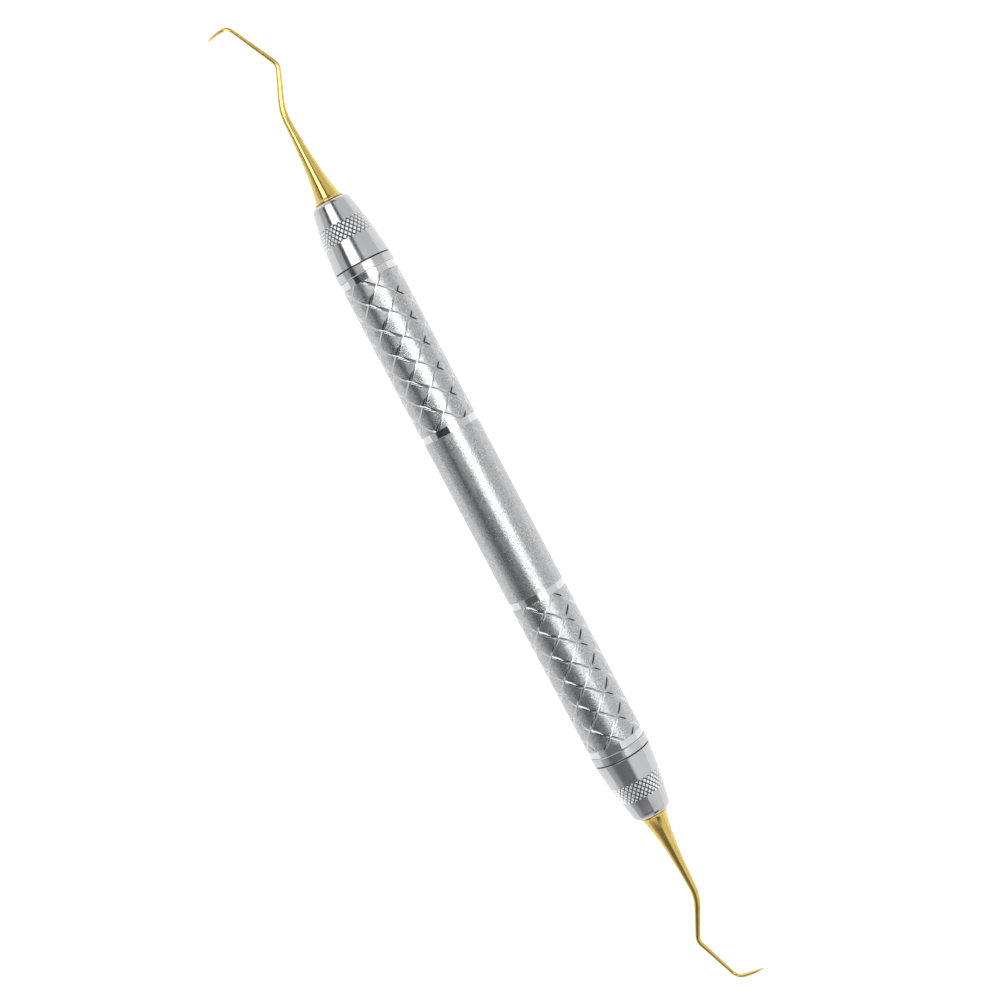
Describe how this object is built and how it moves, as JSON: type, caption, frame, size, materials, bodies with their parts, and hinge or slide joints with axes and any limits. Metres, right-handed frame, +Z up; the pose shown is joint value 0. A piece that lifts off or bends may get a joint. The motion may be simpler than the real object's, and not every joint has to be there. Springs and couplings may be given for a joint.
{
  "type": "dental hand scaler",
  "caption": "Double-ended dental hand scaler: hollow steel handle with diamond-cut grips, knurled screw-in cones and gold-coated bent shanks that end in small curved, pointed blades.",
  "frame": {"origin": "on the handle's axis at the middle of its length, which is the centre of the bounding box to within 0.4 mm", "axes": "+X along the handle towards the right tip, +Z up with the scaler lying on its side, +Y across it so that the left shank's outer bend points to +Y"},
  "size_m": [0.172, 0.0102, 0.0096],
  "materials": {
    "blasted_steel": "fine bead-blasted stainless steel, with bright diamond-cut grooves and polished necks",
    "turned_steel": "turned stainless steel",
    "satin_steel": "satin turned stainless steel with a bright knurled band",
    "nitride_gold": "polished stainless steel with a gold-coloured titanium nitride coating",
    "washer_rubber": "matt black silicone"
  },
  "bodies": {
    "handle": {"handle_tube": "blasted_steel", "left_end_plug": "turned_steel", "right_end_plug": "turned_steel"},
    "left_washer": {"left_seal_washer": "washer_rubber"},
    "left_end": {"left_cone": "satin_steel", "left_tip": "nitride_gold"},
    "right_washer": {"right_seal_washer": "washer_rubber"},
    "right_end": {"right_cone": "satin_steel", "right_tip": "nitride_gold"}
  },
  "joints": [
    {"name": "left_end_travel", "type": "slide", "parent": "handle", "child": "left_washer", "axis": [-1, 0, 0], "range_m": [0, 0.006]},
    {"name": "left_end_turn", "type": "hinge", "parent": "left_washer", "child": "left_end", "pos_m": [-0.0441, 0, 0], "axis": [-1, 0, 0], "range_deg": [0, 2700]},
    {"name": "right_end_travel", "type": "slide", "parent": "handle", "child": "right_washer", "axis": [1, 0, 0], "range_m": [0, 0.006]},
    {"name": "right_end_turn", "type": "hinge", "parent": "right_washer", "child": "right_end", "pos_m": [0.0441, 0, 0], "axis": [1, 0, 0], "range_deg": [0, 2700]}
  ],
  "couplings": [
    {"joint": "left_end_turn", "follows": "left_end_travel", "rad_per_m": 7853.9},
    {"joint": "right_end_turn", "follows": "right_end_travel", "rad_per_m": 7853.9}
  ]
}
